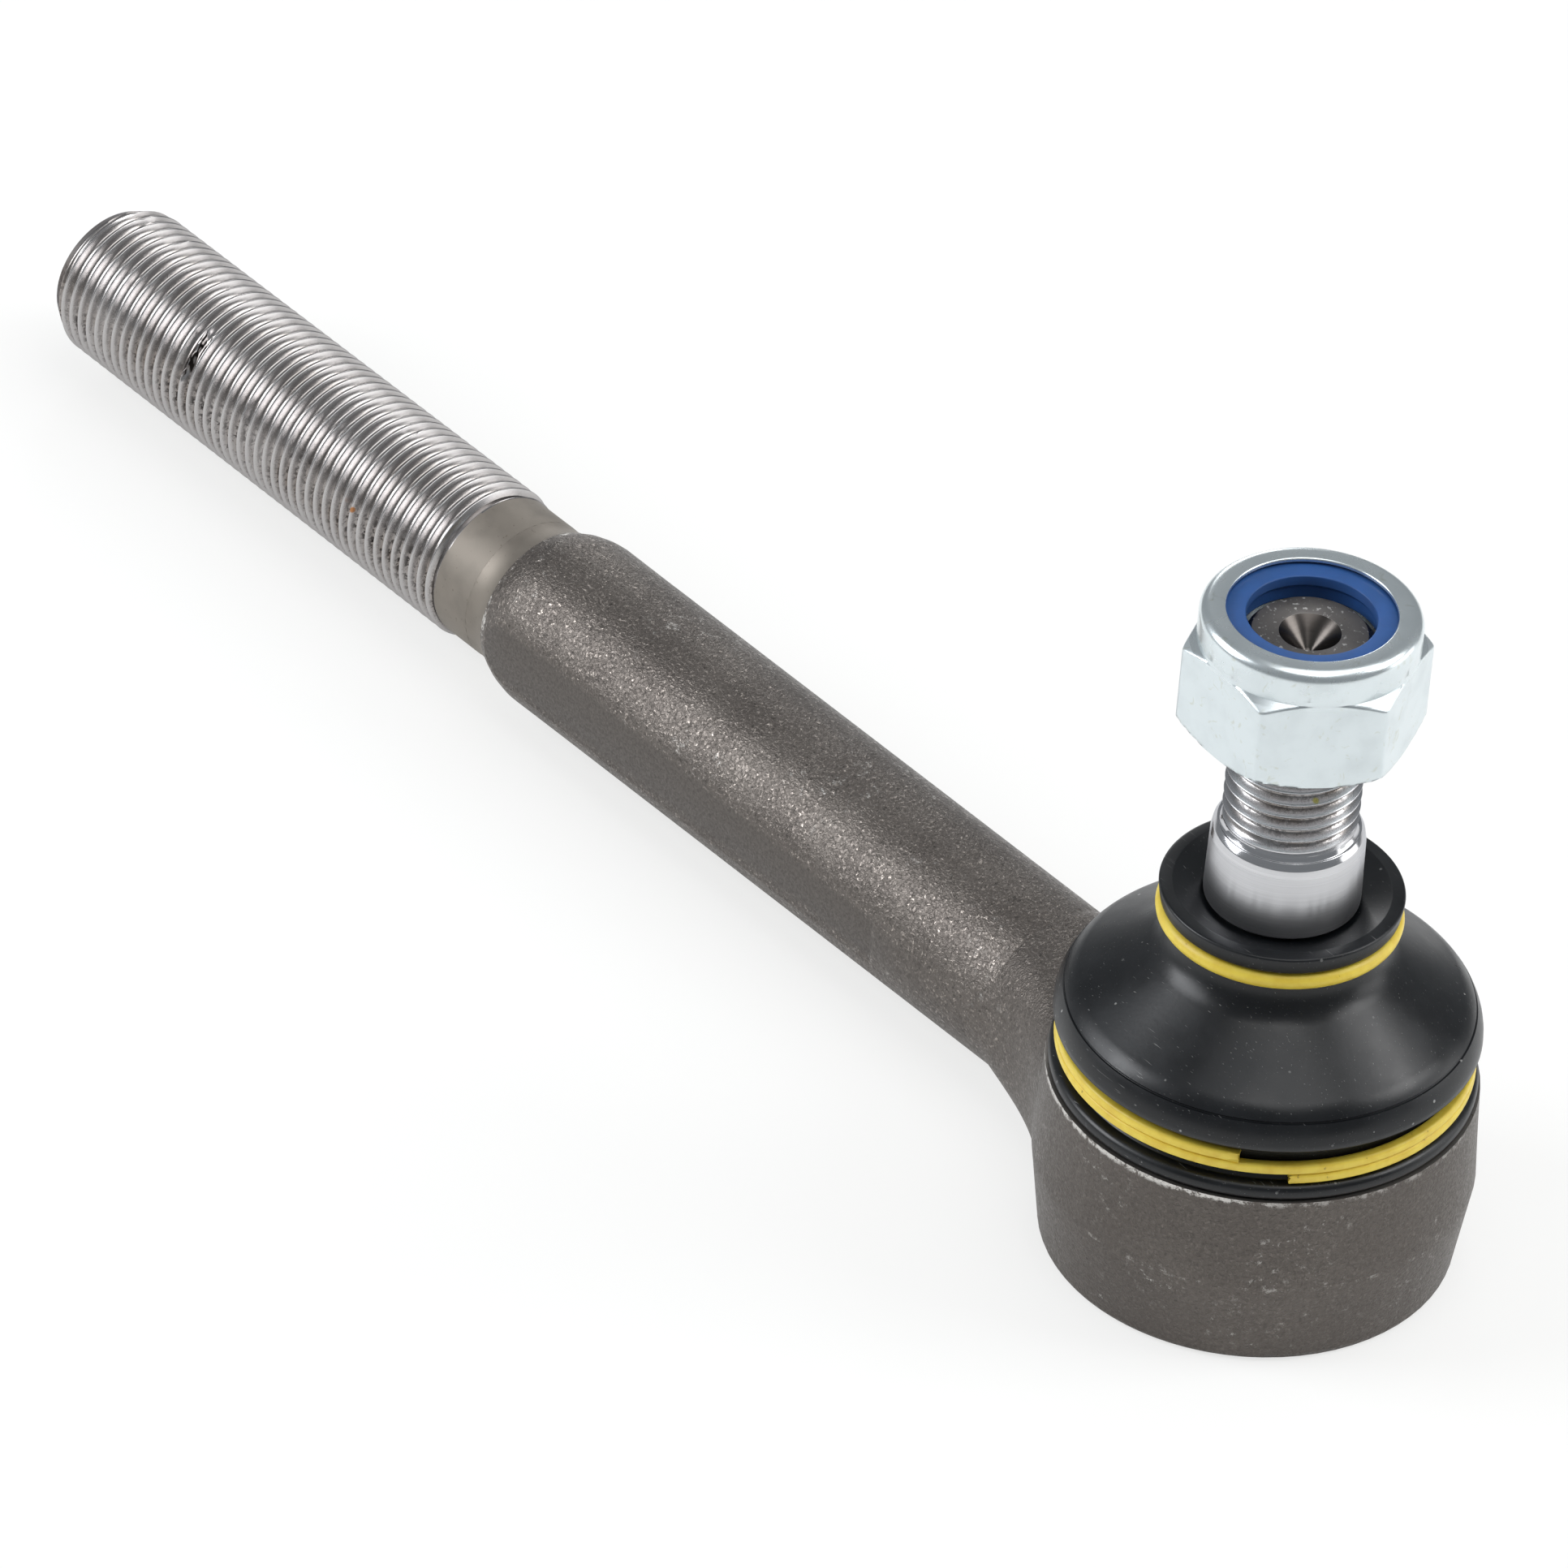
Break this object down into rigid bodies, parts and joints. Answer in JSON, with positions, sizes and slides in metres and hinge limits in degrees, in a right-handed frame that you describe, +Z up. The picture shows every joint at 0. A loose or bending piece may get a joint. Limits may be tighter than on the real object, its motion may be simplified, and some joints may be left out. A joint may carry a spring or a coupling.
{
  "type": "inner tie rod",
  "caption": "Threaded steel steering rod with a round ball-joint head, rubber dust boot, clamp rings and a stud with a nylon-insert lock nut.",
  "frame": {"origin": "on the stud's axis, level with the flat underside of the head", "axes": "+Z up along the ball stud at rest; the threaded rod runs along -X; +Y completes the right-handed frame"},
  "size_m": [0.2149, 0.0458, 0.0792],
  "materials": {
    "forged_steel": "shot-blasted forging, dark grey, turned at the neck and thread",
    "ground_steel": "ground and polished",
    "black_rubber": "satin moulded",
    "yellow_paint": "satin yellow paint on spring wire",
    "zinc_steel": "bluish bright zinc",
    "blue_nylon": "satin moulded",
    "seat_plastic": "natural acetal",
    "plate_steel": "pressed sheet"
  },
  "bodies": {
    "rod": {"rod_housing": "forged_steel", "ball_seat": "seat_plastic", "cover_plate": "plate_steel", "lower_clamp_ring": "yellow_paint"},
    "boot": {"dust_boot": "black_rubber"},
    "collar": {"upper_clamp_ring": "yellow_paint"},
    "stud": {"ball_stud": "ground_steel"},
    "insert": {"nylon_insert": "blue_nylon"},
    "nut": {"lock_nut": "zinc_steel"}
  },
  "joints": [
    {"name": "boot_swivel", "type": "hinge", "parent": "rod", "child": "boot", "pos_m": [0, 0, 0.015], "axis": [0, 0, 1], "continuous": true},
    {"name": "stud_tilt", "type": "hinge", "parent": "boot", "child": "collar", "pos_m": [0, 0, 0.015], "axis": [0, 1, 0], "range_deg": [-25, 25], "deforming": ["dust_boot"]},
    {"name": "stud_spin", "type": "hinge", "parent": "collar", "child": "stud", "pos_m": [0, 0, 0.015], "axis": [0, 0, 1], "continuous": true},
    {"name": "nut_travel", "type": "slide", "parent": "stud", "child": "insert", "axis": [0, 0, 1], "range_m": [-0.0105, 0.012], "deforming": ["nylon_insert"]},
    {"name": "nut_spin", "type": "hinge", "parent": "insert", "child": "nut", "pos_m": [0, 0, 0.07], "axis": [0, 0, 1], "range_deg": [-2523, 2883]}
  ],
  "couplings": [
    {"joint": "nut_spin", "follows": "nut_travel", "rad_per_m": 4188.8}
  ]
}
